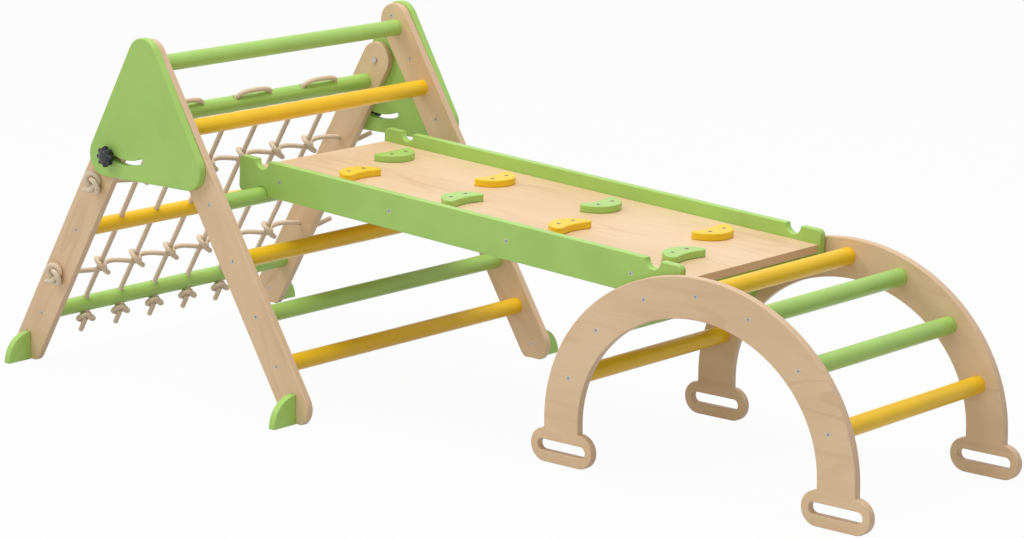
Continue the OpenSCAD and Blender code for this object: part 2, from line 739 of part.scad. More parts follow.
// Rail with round notches in both edges, so that the ramp can be turned over
module ramp_rail() {
    c = rail_corner_r;
    x0 = c - notch_inset;
    x1 = notch_span + notch_inset - c;
    color(green) difference() {
        on_ramp() board(-ramp_w / 2) difference() {
            polygon(rounded_points(
                [[x0, rail_low + c], [x1, rail_low + c], [x1, rail_high - c], [x0, rail_high - c]], c));
            for (x = [0, notch_span]) {
                translate([x, rail_low + notch_in]) circle(r = notch_r);
                translate([x - notch_r, rail_low - notch_in]) square([2 * notch_r, 2 * notch_in]);
                translate([x, rail_high - notch_in]) circle(r = notch_r);
                translate([x - notch_r, rail_high - notch_in]) square([2 * notch_r, 2 * notch_in]);
            }
        }
        at_rail_screws() screw_hole(rail_screw_len);
    }
}

module ramp_panel() {
    color(wood) difference() {
        on_ramp() translate([panel_inset - notch_inset, -panel_w / 2, panel_top - ply])
            cube([rail_len - 2 * panel_inset, panel_w, ply]);
        both_sides() at_rail_screws() screw_hole(rail_screw_len);
        for (i = [0:7]) at_hold_screws(i) screw_hole(hold_screw_len);
    }
}

// Half-moon with its middle at the origin: round back, slightly hollow front and round ends
function arc_points(centre, r, a, b, steps) =
    [for (i = [0:steps - 1]) centre + polar(r, a + (b - a) * i / steps)];
function hold_points() =
    let (e = hold_end_r, y = hold_len / 2 - e, k = hold_w - 2 * e, mid = [(hold_w - 2 * e) / 2, 0],
         back = (y * y - k * k) / (2 * k), front = (y * y - hold_dip * hold_dip) / (2 * hold_dip),
         a = atan2(y, -back), f = atan2(y, front))
    concat(
        arc_points(mid + [back, 0], back + k + e, a, 360 - a, hold_back_steps),
        arc_points(mid - [0, y], e, 360 - a, 360 + f, hold_end_steps),
        arc_points(mid + [front, 0], front - e + hold_dip, 180 + f, 180 - f, hold_front_steps),
        arc_points(mid + [0, y], e, -f, a, hold_end_steps));

// Holds go by rows from the ladder down: far column, which is turned round, then near column
module at_hold(i) {
    row = floor(i / 2);
    is_far = i % 2 == 0;
    share = is_far ? far_hold_shares[row] : near_hold_shares[row];
    y = ramp_w * (is_far ? far_column_share : -near_column_share);
    on_ramp() translate([rail_len * share - notch_inset, y, panel_top]) rotate(is_far ? 180 : 0) children();
}

module at_hold_screws(i) {
    for (s = [-1, 1])
        at_hold(i) translate([0, s * hold_len * hold_screw_share, hold_t]) rotate([-90, 0, 0]) children();
}

module hold(i) {
    color(hold_colours[i]) difference() {
        at_hold(i) linear_extrude(height = hold_t) polygon(hold_points());
        at_hold_screws(i) screw_hole(hold_screw_len);
    }
}

module hold_screws() {
    color(steel) for (i = [0:7]) at_hold_screws(i) screw(hold_screw_len);
}

module rail_screws() {
    color(steel) both_sides() at_rail_screws() screw(rail_screw_len);
}

// Outline of an arch of half width w and height h whose straight legs start at the height low
function arch_points(w, h, low) = concat(
    [[w, low]],
    [for (i = [0:arch_steps]) let (a = 180 * i / arch_steps)
        [w * cos(a), arch_spring + (h - arch_spring) * sin(a)]],
    [[-w, low]]);

// Arch side: a full-shouldered arch that stands on two feet, each with a hand slot
module arch_side() {
    color(wood) difference() {
        translate([arch_x, 0, 0]) board(-arch_w / 2) difference() {
            union() {
                difference() {
                    polygon(arch_points(arch_r, arch_h, arch_foot_h / 2));
                    polygon(arch_points(arch_inner_r, arch_h - arch_top_band, 0));
                }
                for (s = [-1, 1])
                    translate([s * arch_foot_x, arch_foot_h / 2]) stadium(arch_foot_len, arch_foot_h);
            }
            for (s = [-1, 1])
                translate([s * arch_foot_x, arch_foot_h / 2]) stadium(hand_slot_len, hand_slot_h);
        }
        for (i = [0:6]) at_arch_rung(i) translate([0, -arch_w / 2, 0]) screw_hole(rung_screw_len);
    }
}

module arch_rung(i) {
    color(arch_colours[i]) difference() {
        at_arch_rung(i) rod(arch_inner_y);
        both_sides() at_arch_rung(i) translate([0, -arch_w / 2, 0]) screw_hole(rung_screw_len);
    }
}

module arch_screws() {
    color(steel) both_sides() for (i = [0:6])
        at_arch_rung(i) translate([0, -arch_w / 2, 0]) screw(rung_screw_len);
}

ladder_leg();  // ladder_leg_near
far_side() ladder_leg();  // ladder_leg_far
for (i = [0:5]) ladder_rung(i);
gusset();  // gusset_near
far_side() gusset();  // gusset_far
ladder_foot();  // ladder_foot_near
far_side() ladder_foot();  // ladder_foot_far
ladder_rung_screws();
gusset_screws();
ladder_foot_screws();
pivot_bolts();
pivot_inserts();
net_leg();  // net_leg_near
far_side() net_leg();  // net_leg_far
net_rung(0);  // net_rung_top
net_rung(1);  // net_rung_mid
net_rung(2);  // net_rung_bottom
net_foot();  // net_foot_near
far_side() net_foot();  // net_foot_far
net_rung_screws();
net_foot_screws();
for (k = [0:2]) net_rope(k);
cross_rope(0);  // cross_rope_upper
cross_rope(1);  // cross_rope_lower
clamp_inserts();
clamp_bolts();
knob();  // knob_near
far_side() knob();  // knob_far
ramp_rail();  // ramp_rail_near
far_side() ramp_rail();  // ramp_rail_far
ramp_panel();
for (i = [0:7]) hold(i);
hold_screws();
rail_screws();
arch_side();  // arch_side_near
far_side() arch_side();  // arch_side_far
for (i = [0:6]) arch_rung(i);
arch_screws();
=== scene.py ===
import json
import math

import bmesh
import bpy
import numpy as np
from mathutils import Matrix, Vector


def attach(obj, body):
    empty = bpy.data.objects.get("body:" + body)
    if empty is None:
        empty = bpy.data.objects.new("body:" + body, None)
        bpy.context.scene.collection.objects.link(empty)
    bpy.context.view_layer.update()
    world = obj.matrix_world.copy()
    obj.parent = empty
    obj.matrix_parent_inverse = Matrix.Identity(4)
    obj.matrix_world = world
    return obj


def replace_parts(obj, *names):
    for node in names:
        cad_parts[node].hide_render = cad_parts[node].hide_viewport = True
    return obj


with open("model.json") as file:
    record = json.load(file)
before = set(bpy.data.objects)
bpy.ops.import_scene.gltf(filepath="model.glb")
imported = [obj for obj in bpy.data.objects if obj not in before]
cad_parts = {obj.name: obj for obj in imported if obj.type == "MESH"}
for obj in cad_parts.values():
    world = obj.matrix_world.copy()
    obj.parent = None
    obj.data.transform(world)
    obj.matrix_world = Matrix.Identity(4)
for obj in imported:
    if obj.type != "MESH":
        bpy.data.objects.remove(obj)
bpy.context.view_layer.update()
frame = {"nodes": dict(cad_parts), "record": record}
nodes = frame["nodes"]
slot_of = {part["node"]: part["material_slot"] for part in frame["record"]["subparts"]}
scene = bpy.context.scene
scene.view_settings.view_transform = "Standard"

MM = 0.001
# The two sides of the part and their sign along Y
SIDES = {"near": -1, "far": 1}

# ---------------------------------------------------------------- camera
# Fitted to the photograph: place in metres, azimuth and elevation in degrees, and focal length
# and image width in pixels
EYE = (4.575037, -5.126824, 1.829661)
AZIMUTH, ELEVATION = 41.5839, 12.4452
FOCAL_PX, IMAGE_W = 3226.954, 1024
SENSOR = 36.0
CLIP_NEAR, CLIP_FAR = 0.05, 200

cam_data = bpy.data.cameras.new("camera")
cam_data.sensor_width = SENSOR
cam_data.lens = FOCAL_PX * SENSOR / IMAGE_W
cam_data.clip_start, cam_data.clip_end = CLIP_NEAR, CLIP_FAR
camera = bpy.data.objects.new("camera", cam_data)
camera.location = EYE
camera.rotation_euler = (math.radians(90 - ELEVATION), 0, math.radians(AZIMUTH))
scene.collection.objects.link(camera)
scene.camera = camera


# ---------------------------------------------------------------- node trees
class Graph:
    """Short calls for adding nodes and links to a node tree."""

    def __init__(self, tree):
        self.tree = tree

    def add(self, kind, inputs=None, **settings):
        node = self.tree.nodes.new(kind)
        for key, value in settings.items():
            setattr(node, key, value)
        for key, value in (inputs or {}).items():
            if isinstance(value, bpy.types.NodeSocket):
                self.tree.links.new(value, node.inputs[key])
            else:
                node.inputs[key].default_value = value
        return node

    def object_coords(self):
        return self.add("ShaderNodeTexCoord").outputs["Object"]

    def math(self, operation, a, b=0.0, clamp=False):
        node = self.add("ShaderNodeMath", {0: a, 1: b}, operation=operation, use_clamp=clamp)
        return node.outputs[0]

    def times(self, a, b):
        return self.math("MULTIPLY", a, b)

    def weighted(self, a, a_weight, b, b_weight, clamp=False):
        return self.math("ADD", self.times(a, a_weight), self.times(b, b_weight), clamp)

    def dot(self, vector, axis):
        node = self.add("ShaderNodeVectorMath", {0: vector, 1: axis}, operation="DOT_PRODUCT")
        return node.outputs["Value"]

    def remap(self, value, band, to=(0.0, 1.0)):
        """Smooth step over a band of the value, between the two results."""
        inputs = {"Value": value, "From Min": band[0], "From Max": band[1],
                  "To Min": to[0], "To Max": to[1]}
        node = self.add("ShaderNodeMapRange", inputs, interpolation_type="SMOOTHSTEP")
        return node.outputs["Result"]

    def noise(self, vector, scale, detail=2.0, roughness=0.5):
        inputs = {"Vector": vector, "Scale": scale, "Detail": detail, "Roughness": roughness}
        return self.add("ShaderNodeTexNoise", inputs).outputs["Fac"]

    def mapping(self, vector, location=(0, 0, 0), rotation=(0, 0, 0), scale=(1, 1, 1)):
        inputs = {"Vector": vector, "Location": location, "Rotation": rotation, "Scale": scale}
        return self.add("ShaderNodeMapping", inputs).outputs["Vector"]

    def grain(self, vector, cells, scale=1.0, detail=2.0, roughness=0.5):
        """Noise with its own number of cells per metre along each axis."""
        return self.noise(self.mapping(vector, scale=cells), scale, detail, roughness)

    def mix(self, factor, a, b):
        """Mix of two colours, on the colour sockets of the Mix node."""
        return self.add("ShaderNodeMix", {0: factor, 6: a, 7: b}, data_type="RGBA").outputs[2]

    def bump(self, height, strength, distance):
        inputs = {"Height": height, "Strength": strength, "Distance": distance}
        return self.add("ShaderNodeBump", inputs).outputs["Normal"]

    def mix_shader(self, factor, a, b):
        inputs = {0: factor, 1: a.outputs[0], 2: b.outputs[0]}
        return self.add("ShaderNodeMixShader", inputs).outputs[0]

    def principled(self, colour, roughness, normal, more=None):
        inputs = {"Base Color": colour, "Roughness": roughness, "Normal": normal, **(more or {})}
        return self.add("ShaderNodeBsdfPrincipled", inputs).outputs[0]

    def surface(self, shader):
        self.add("ShaderNodeOutputMaterial", {"Surface": shader})

    def seen_ray(self):
        """1 for camera, glossy and transmission rays, which see the plain white surroundings."""
        path = self.add("ShaderNodeLightPath").outputs
        both = self.math("MAXIMUM", path["Is Camera Ray"], path["Is Glossy Ray"])
        return self.math("MAXIMUM", both, path["Is Transmission Ray"])


def new_material(name):
    material = bpy.data.materials.new(name)
    material.use_nodes = True
    material.node_tree.nodes.clear()
    return material, Graph(material.node_tree)


def srgb(r, g, b):
    """Linear colour of an 8-bit display colour, by the sRGB standard's curve."""
    def channel(c):
        c /= 255
        return c / 12.92 if c <= 0.04045 else ((c + 0.055) / 1.055) ** 2.4
    return (channel(r), channel(g), channel(b), 1.0)


def shade(colour, factor):
    return tuple(min(1.0, c * factor) for c in colour[:3]) + (1.0,)


# ---------------------------------------------------------------- stage and light
WHITE = (1, 1, 1, 1)
WORLD_LIGHT, SEEN_WHITE = 0.40, 1.0
FLOOR_GREY, FLOOR_SEEN_SHARE = (0.58, 0.58, 0.58, 1), 0.96
FLOOR_HALF, FLOOR_Z = 30.0, -0.0006
# Name, place, target, width in metres and power in watts
LAMPS = [
    ("key", (-3.2, -3.4, 4.2), (-0.1, 0, 0.3), 2.4, 70),
    ("top", (0.3, 0.2, 7.0), (0, 0, 0.3), 4.2, 276),
    ("fill", (1.6, -5.2, 1.3), (0, 0, 0.3), 2.6, 40),
]

world = bpy.data.worlds.new("studio")
scene.world = world
world.use_nodes = True
world.node_tree.nodes.clear()
g = Graph(world.node_tree)
light = g.add("ShaderNodeBackground", {"Color": WHITE, "Strength": WORLD_LIGHT})
seen = g.add("ShaderNodeBackground", {"Color": WHITE, "Strength": SEEN_WHITE})
g.add("ShaderNodeOutputWorld", {"Surface": g.mix_shader(g.seen_ray(), light, seen)})

floor_material, g = new_material("pale_floor")
diffuse = g.add("ShaderNodeBsdfDiffuse", {"Color": FLOOR_GREY})
white = g.add("ShaderNodeEmission", {"Color": WHITE, "Strength": SEEN_WHITE})
g.surface(g.mix_shader(g.times(g.seen_ray(), FLOOR_SEEN_SHARE), diffuse, white))
corners = [(x * FLOOR_HALF, y * FLOOR_HALF, FLOOR_Z)
           for x, y in ((-1, -1), (1, -1), (1, 1), (-1, 1))]
floor_mesh = bpy.data.meshes.new("floor")
floor_mesh.from_pydata(corners, [], [(0, 1, 2, 3)])
floor_mesh.materials.append(floor_material)
floor = bpy.data.objects.new("floor", floor_mesh)
scene.collection.objects.link(floor)

for name, place, target, size, power in LAMPS:
    data = bpy.data.lights.new(name, "AREA")
    data.shape, data.size, data.energy = "DISK", size, power
    lamp = bpy.data.objects.new(name, data)
    lamp.location = place
    lamp.rotation_mode = "QUATERNION"
    lamp.rotation_quaternion = (Vector(target) - Vector(place)).to_track_quat("-Z", "Y")
    scene.collection.objects.link(lamp)

# ---------------------------------------------------------------- birch plywood
LEAN = math.radians(31.5)
SLOPE = math.radians(3.270606)
BIRCH, BIRCH_LIGHT, BIRCH_DARK = srgb(228, 194, 151), srgb(237, 206, 166), srgb(196, 152, 106)
EDGE_LIGHT, EDGE_DARK = srgb(235, 205, 171), srgb(213, 177, 139)
# Layers of the edge: a light and a dark one in each wave through the board
PLY_COUNT, PLY_T = 13, 18 * MM
LAYER_WAVE = 2 * math.pi * PLY_COUNT / 2 / PLY_T
LAYER_BAND, WOBBLE_SCALE, WOBBLE = (-0.6, 0.6), 60.0, 0.9
# Cells per metre along a board, over its width and through it
FIGURE_CELLS, STREAK_CELLS, CLOUD_CELLS = (1.1, 5.2, 0.0), (9.0, 260.0, 60.0), (2.5, 8, 8)
FIGURE_SCALE, FIGURE_DETAIL, FIGURE_ROUGHNESS, FIGURE_RINGS = 1.7, 1.8, 0.42, 42.0
STREAK_DETAIL, STREAK_ROUGHNESS = 3.0, 0.6
FADE_SCALE = 4.0
# Bands of the noises that show, and how much of the dark tone each one brings
RING_BAND, FADE_BAND, CLOUD_BAND = (0.5, 1.0), (0.35, 0.65), (0.3, 0.7)
STREAK_BAND, EDGE_STREAK_BAND = (0.45, 0.8), (0.4, 0.75)
RING_WEIGHT, STREAK_WEIGHT, EDGE_STREAK_WEIGHT = 0.25, 0.13, 0.25
# How squarely a surface looks along the board's thickness, from edge to face
FACE_BAND = (0.55, 0.92)
RING_HEIGHT, STREAK_HEIGHT = -0.25, 0.6
PLY_BUMP, PLY_BUMP_DEPTH = 0.12, 0.0006
WIDE_BAND = (0.2, 0.8)
VARNISH_ROUGHNESS = (0.42, 0.56)
VARNISH = {"Coat Weight": 0.08, "Coat Roughness": 0.3}


def board_cells(cells, across):
    """Cells in the board's turned axes, where its width runs along y or z."""
    along, over, through = cells
    return (along, over, through) if across == "y" else (along, through, over)


def plywood(name, turn, axis, across, shift):
    """Birch plywood: contour figure along the board, light and dark layers on its edges, varnish.
    turn carries the board's length to X, axis is its thickness and across its width."""
    material, g = new_material(name)
    coords = g.add("ShaderNodeTexCoord").outputs
    board = g.mapping(coords["Object"], location=shift, rotation=(0, turn, 0))
    figure = g.grain(board, board_cells(FIGURE_CELLS, across), FIGURE_SCALE, FIGURE_DETAIL,
                     FIGURE_ROUGHNESS)
    rings = g.remap(g.math("SINE", g.times(figure, FIGURE_RINGS)), RING_BAND)
    fade = g.remap(g.noise(board, FADE_SCALE), FADE_BAND)
    streaks = g.grain(board, board_cells(STREAK_CELLS, across), detail=STREAK_DETAIL,
                      roughness=STREAK_ROUGHNESS)
    cloud = g.grain(board, CLOUD_CELLS)
    face = g.mix(g.remap(cloud, CLOUD_BAND), BIRCH, BIRCH_LIGHT)
    dark = g.weighted(g.times(rings, fade), RING_WEIGHT, g.remap(streaks, STREAK_BAND),
                      STREAK_WEIGHT, clamp=True)
    face = g.mix(dark, face, BIRCH_DARK)
    depth = g.dot(coords["Object"], axis)
    layers = g.weighted(depth, LAYER_WAVE, g.noise(board, WOBBLE_SCALE), WOBBLE)
    edge = g.mix(g.remap(g.math("SINE", layers), LAYER_BAND), EDGE_DARK, EDGE_LIGHT)
    edge_streaks = g.times(g.remap(streaks, EDGE_STREAK_BAND), EDGE_STREAK_WEIGHT)
    edge = g.mix(edge_streaks, edge, EDGE_DARK)
    facing = g.math("ABSOLUTE", g.dot(coords["Normal"], axis))
    colour = g.mix(g.remap(facing, FACE_BAND), edge, face)
    rough = g.remap(streaks, WIDE_BAND, VARNISH_ROUGHNESS)
    height = g.weighted(streaks, STREAK_HEIGHT, rings, RING_HEIGHT)
    normal = g.bump(height, PLY_BUMP, PLY_BUMP_DEPTH)
    g.surface(g.principled(colour, rough, normal, VARNISH))
    return material


BOARD_AXIS = (0, 1, 0)
PANEL_AXIS = (math.sin(SLOPE), 0, math.cos(SLOPE))
LADDER_TURN, NET_TURN = math.pi / 2 + LEAN, math.pi / 2 - LEAN
# The last value shifts the figure, so that no two boards are cut from the same sheet
boards = {
    "ladder_leg_near": plywood("birch_ladder_near", LADDER_TURN, BOARD_AXIS, "z", (0.13, 0, 0.41)),
    "ladder_leg_far": plywood("birch_ladder_far", LADDER_TURN, BOARD_AXIS, "z", (1.73, 0, 0.87)),
    "net_leg_near": plywood("birch_net_near", NET_TURN, BOARD_AXIS, "z", (2.31, 0, 1.29)),
    "net_leg_far": plywood("birch_net_far", NET_TURN, BOARD_AXIS, "z", (3.47, 0, 2.13)),
    "ramp_panel": plywood("birch_panel", -SLOPE, PANEL_AXIS, "y", (0.53, 1.17, 0)),
    "arch_side_near": plywood("birch_arch_near", 0.0, BOARD_AXIS, "z", (4.19, 0, 3.31)),
    "arch_side_far": plywood("birch_arch_far", 0.0, BOARD_AXIS, "z", (5.83, 0, 4.57)),
}

# ---------------------------------------------------------------- paint, rope, plastic and steel
GREEN, YELLOW, HOLD_YELLOW = srgb(173, 214, 109), srgb(255, 204, 32), srgb(251, 208, 30)
PAINT_CELLS = {"x": (6, 160, 160), "y": (160, 6, 160), "z": (160, 160, 6)}
PAINT_DETAIL, PAINT_ROUGHNESS = 3.0, 0.55
MOTTLE_SCALE, MOTTLE_BAND, PEEL_SCALE, PEEL_DETAIL = 9.0, (0.3, 0.7), 900.0, 1.0
PAINT_DEEP, PAINT_PALE, PAINT_GRAIN_WEIGHT = 0.95, 1.02, 0.16
PAINT_GRAIN_HEIGHT, PEEL_HEIGHT = 0.5, 0.22
PAINT_BUMP, PAINT_BUMP_DEPTH = 0.10, 0.0005
PAINT_GLOSS = (0.30, 0.40)
PAINT_SPECULAR = {"Specular IOR Level": 0.38}


def paint(name, colour, along):
    """Satin paint on wood: a trace of grain along one axis, slight mottling and orange peel."""
    material, g = new_material(name)
    coords = g.object_coords()
    grain = g.grain(coords, PAINT_CELLS[along], detail=PAINT_DETAIL, roughness=PAINT_ROUGHNESS)
    mottle = g.noise(coords, MOTTLE_SCALE, PAINT_DETAIL)
    peel = g.noise(coords, PEEL_SCALE, PEEL_DETAIL)
    deep = shade(colour, PAINT_DEEP)
    tone = g.mix(g.remap(mottle, MOTTLE_BAND), deep, shade(colour, PAINT_PALE))
    tone = g.mix(g.times(g.remap(grain, STREAK_BAND), PAINT_GRAIN_WEIGHT), tone, deep)
    rough = g.remap(mottle, WIDE_BAND, PAINT_GLOSS)
    height = g.weighted(grain, PAINT_GRAIN_HEIGHT, peel, PEEL_HEIGHT)
    normal = g.bump(height, PAINT_BUMP, PAINT_BUMP_DEPTH)
    g.surface(g.principled(tone, rough, normal, PAINT_SPECULAR))
    return material


# The first colour is painted shade for the crevices between the braid's strands; the second is the
# strands' own colour
ROPE_PAINTED_SHADE, ROPE_STRAND = srgb(214, 192, 165), srgb(239, 220, 196)
ROPE_PATCH, ROPE_FIBRE = srgb(226, 204, 179), srgb(210, 187, 160)
FIBRE_SCALE, FIBRE_BAND, FIBRE_WEIGHT = 1500.0, (0.45, 0.8), 0.14
PATCH_SCALE, PATCH_BAND, PATCH_WEIGHT = 35.0, (0.35, 0.7), 0.3
# Band of the braid's height over which the painted shade of the crevices gives way to the strand
# colour
PAINTED_SHADE_BAND = (0.0, 0.6)
FIBRE_BUMP, FIBRE_BUMP_DEPTH = 0.25, 0.0004
ROPE_ROUGHNESS = 0.82
ROPE_SHEEN = {"Sheen Weight": 0.25, "Sheen Roughness": 0.5, "Specular IOR Level": 0.2}


def rope_material():
    """Braided cord: fibres on the strands, and painted shade in the crevices between them."""
    material, g = new_material("rope_braid")
    coords = g.object_coords()
    raised = g.add("ShaderNodeAttribute", attribute_name="braid").outputs["Fac"]
    fibre = g.noise(coords, FIBRE_SCALE)
    patch = g.noise(coords, PATCH_SCALE)
    # Painted shade: the rope is darker where the braid is low, in the crevices between its strands
    tone = g.mix(g.remap(raised, PAINTED_SHADE_BAND), ROPE_PAINTED_SHADE, ROPE_STRAND)
    tone = g.mix(g.times(g.remap(patch, PATCH_BAND), PATCH_WEIGHT), tone, ROPE_PATCH)
    tone = g.mix(g.times(g.remap(fibre, FIBRE_BAND), FIBRE_WEIGHT), tone, ROPE_FIBRE)
    normal = g.bump(fibre, FIBRE_BUMP, FIBRE_BUMP_DEPTH)
    g.surface(g.principled(tone, ROPE_ROUGHNESS, normal, ROPE_SHEEN))
    return material


MOULD_SCALE, WEAR_SCALE, WEAR_BAND, WEAR_PALE = 1400.0, 60.0, (0.35, 0.75), 1.35
MOULD_BUMP, MOULD_BUMP_DEPTH = 0.12, 0.0003
SMOOTHER, ROUGHER = 0.05, 0.08


def knob_plastic(name, colour, roughness):
    """Moulded plastic: a fine texture and paler, rougher worn patches."""
    material, g = new_material(name)
    coords = g.object_coords()
    wear = g.noise(coords, WEAR_SCALE)
    tone = g.mix(g.remap(wear, WEAR_BAND), colour, shade(colour, WEAR_PALE))
    rough = g.remap(wear, WIDE_BAND, (roughness - SMOOTHER, roughness + ROUGHER))
    normal = g.bump(g.noise(coords, MOULD_SCALE), MOULD_BUMP, MOULD_BUMP_DEPTH)
    g.surface(g.principled(tone, rough, normal))
    return material


BRUSH_CELLS, BRUSH_BAND, BRUSH_ROUGHNESS = (300, 300, 1800), (0.3, 0.7), (0.28, 0.42)
BRUSH_BUMP, BRUSH_BUMP_DEPTH = 0.08, 0.0002
STEEL_METAL = {"Metallic": 0.85}


def steel(name, dark, light):
    """Plated steel with fine brush marks."""
    material, g = new_material(name)
    brush = g.grain(g.object_coords(), BRUSH_CELLS)
    tone = g.mix(g.remap(brush, BRUSH_BAND), dark, light)
    rough = g.remap(brush, WIDE_BAND, BRUSH_ROUGHNESS)
    normal = g.bump(brush, BRUSH_BUMP, BRUSH_BUMP_DEPTH)
    g.surface(g.principled(tone, rough, normal, STEEL_METAL))
    return material


green_rung, yellow_rung = paint("green_rung", GREEN, "y"), paint("yellow_rung", YELLOW, "y")
green_board, green_foot = paint("green_board", GREEN, "x"), paint("green_foot", GREEN, "z")
green_hold, yellow_hold = paint("green_hold", GREEN, "y"), paint("yellow_hold", HOLD_YELLOW, "y")
zinc_steel = steel("zinc_steel", srgb(172, 170, 165), srgb(204, 202, 197))
dark_steel = steel("dark_steel", srgb(104, 100, 92), srgb(136, 131, 122))
cord_material = rope_material()
black_plastic = knob_plastic("black_plastic", srgb(34, 35, 36), 0.42)
grey_plastic = knob_plastic("grey_plastic", srgb(46, 47, 49), 0.20)


def node_material(name):
    slot = slot_of[name]
    if name in boards:
        return boards[name]
    if slot == "steel":
        return dark_steel if name == "hold_screws" else zinc_steel
    if name.startswith("hold"):
        return green_hold if slot == "green_wood" else yellow_hold
    if "rung" in name:
        return green_rung if slot == "green_wood" else yellow_rung
    if slot == "knob":
        return black_plastic
    if slot == "rope":
        return cord_material
    return green_foot if "foot" in name else green_board


for name, o in nodes.items():
    o.data.materials.clear()
    o.data.materials.append(node_material(name))

# ---------------------------------------------------------------- rounded edges on the boards
SHARP = math.radians(32)
SMALL_LOOP = 30 * MM
SAME_CORNER_DIGITS, WELD_GAP = 6, 2e-6
FLAT = math.radians(0.4)
ROUND_SEGMENTS, NORMAL_WEIGHT = 3, 90
HOLDS = 8
# Rounds on the edges in millimetres
SIDE_ROUNDS = {"ladder_leg": 2.5, "net_leg": 2.5, "gusset": 3.0, "ladder_foot": 2.5,
               "net_foot": 2.5, "ramp_rail": 2.5, "arch_side": 2.5}
PANEL_ROUND, HOLD_ROUND = 1.0, 2.5


def sharp_loops(mesh):
    """Edges of the mesh that are sharp once its split vertices are joined, each with the low and
    the high corner of its loop."""
    co = np.array([v.co for v in mesh.vertices])
    key = {}
    joined = [key.setdefault(tuple(np.round(c, SAME_CORNER_DIGITS)), len(key)) for c in co]
    sides = {}
    for p in mesh.polygons:
        ids = [joined[v] for v in p.vertices]
        for a, b in zip(ids, ids[1:] + ids[:1]):
            sides.setdefault((min(a, b), max(a, b)), []).append(p.normal.copy())
    sharp = {e for e, n in sides.items() if len(n) == 2 and n[0].angle(n[1], 0.0) > SHARP}
    group = {}

    def root(i):
        while group.setdefault(i, i) != i:
            i = group[i]
        return i

    for a, b in sharp:
        group[root(a)] = root(b)
    points = {}
    for c, i in zip(co, joined):
        if i in group:
            points.setdefault(root(i), []).append(c)
    boxes = {r: (np.min(c, 0), np.max(c, 0)) for r, c in points.items()}
    found = {}
    for e in mesh.edges:
        a, b = sorted(joined[v] for v in e.vertices)
        if (a, b) in sharp:
            found[e.index] = boxes[root(a)]
    return found


def soften(name, width):
    """Rounds the long edges of a CAD node with modifiers; small screw and rope holes stay crisp."""
    o = nodes[name]
    weights = o.data.attributes.new("bevel_weight_edge", "FLOAT", "EDGE")
    for index, (low, high) in sharp_loops(o.data).items():
        if np.linalg.norm(high - low) > SMALL_LOOP:
            weights.data[index].value = 1.0
    weld = o.modifiers.new("weld", "WELD")
    weld.merge_threshold = WELD_GAP
    flat = o.modifiers.new("flat", "DECIMATE")
    flat.decimate_type, flat.angle_limit = "DISSOLVE", FLAT
    bevel = o.modifiers.new("round", "BEVEL")
    bevel.limit_method, bevel.width, bevel.segments = "WEIGHT", width, ROUND_SEGMENTS
    bevel.use_clamp_overlap, bevel.harden_normals, bevel.loop_slide = False, True, False
    even = o.modifiers.new("even", "WEIGHTED_NORMAL")
    even.mode, even.weight, even.keep_sharp = "FACE_AREA", NORMAL_WEIGHT, False


for name, width in SIDE_ROUNDS.items():
    for side in SIDES:
        soften(f"{name}_{side}", width * MM)
soften("ramp_panel", PANEL_ROUND * MM)
for i in range(1, HOLDS + 1):
    soften(f"hold_{i}", HOLD_ROUND * MM)


# ---------------------------------------------------------------- new pieces
def ring_faces(count, sides):
    """Faces of a closed tube of rings with the same number of points."""
    faces = []
    for j in range(count - 1):
        for i in range(sides):
            a, b = j * sides + i, j * sides + (i + 1) % sides
            faces.append((a, b, b + sides, a + sides))
    last = (count - 1) * sides
    return faces + [tuple(range(sides))[::-1], tuple(range(last, last + sides))]


def add_piece(name, mesh, material, body):
    mesh.polygons.foreach_set("use_smooth", [True] * len(mesh.polygons))
    mesh.materials.append(material)
    o = bpy.data.objects.new(name, mesh)
    scene.collection.objects.link(o)
    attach(o, body)
    return o


# ---------------------------------------------------------------- ropes
# The net's own frame in millimetres: X across its plane, Y from side to side, Z up the legs
NET_FOOT = Vector((-1151.2885, 0, 0)) * MM
NET_RIGHT = Vector((math.cos(LEAN), 0, -math.sin(LEAN)))
NET_UP = Vector((math.sin(LEAN), 0, math.cos(LEAN)))
ROPE_D, RUNG_R, ROPE_TAIL = 12.0, 19.0, 33.0
NET_LEN, NET_Y, NET_INNER_Y = 766.2711, 399.5, 381.5
RUNG_UPS = [NET_LEN * share for share in (0.916, 0.507, 0.18)]
CROSS_UPS = {"upper": NET_LEN - 237.5, "lower": NET_LEN * 0.335}
STRANDS, STRAND_SHARE = 6, 0.1415
STRAND_STEP = 2 * NET_INNER_Y * STRAND_SHARE
STRAND_YS = [(i - (STRANDS - 1) / 2) * STRAND_STEP for i in range(STRANDS)]
# A strand runs straight from the middle rung to a bend above the plumb hole of the bottom rung
STRAND_OUT = RUNG_UPS[1] - RUNG_R
PLUMB = np.array([math.sin(LEAN), 0, -math.cos(LEAN)])
HOLE_SET = 8.0
HOLE = np.array([HOLE_SET * math.cos(LEAN), 0, RUNG_UPS[2] + HOLE_SET * math.sin(LEAN)])
HOLE_REACH = math.sqrt(RUNG_R ** 2 - HOLE_SET ** 2) + 0.1 * ROPE_D
CORNER = HOLE - PLUMB * HOLE_REACH
BEND_ARM, BEND_STEPS = 0.8 * ROPE_D, 9
# Overhand knots: radius, swing and rise in rope widths, and the angle where the tail leaves
LEG_KNOT, NET_KNOT = (1.36, 0.58, 0.53, 999), (1.20, 0.54, 0.54, 963)
KNOT_FROM, KNOT_BACK, KNOT_WINDS, KNOT_NECK, KNOT_STEPS = 135, 180, 1.5, 0.53, 72
HANG = math.radians(39)
HANG_OUT = (math.sin(HANG), 0, -math.cos(HANG))
HANG_ACROSS = (math.cos(HANG), 0, math.sin(HANG))
NET_KNOT_TURN, NEAR_KNOT_TURN, FAR_KNOT_TURN = 128, -25, 61
NEAR_TAIL, FAR_TAIL = (-0.92, -0.67, -0.25), (1.67, 2.33, 3.33)
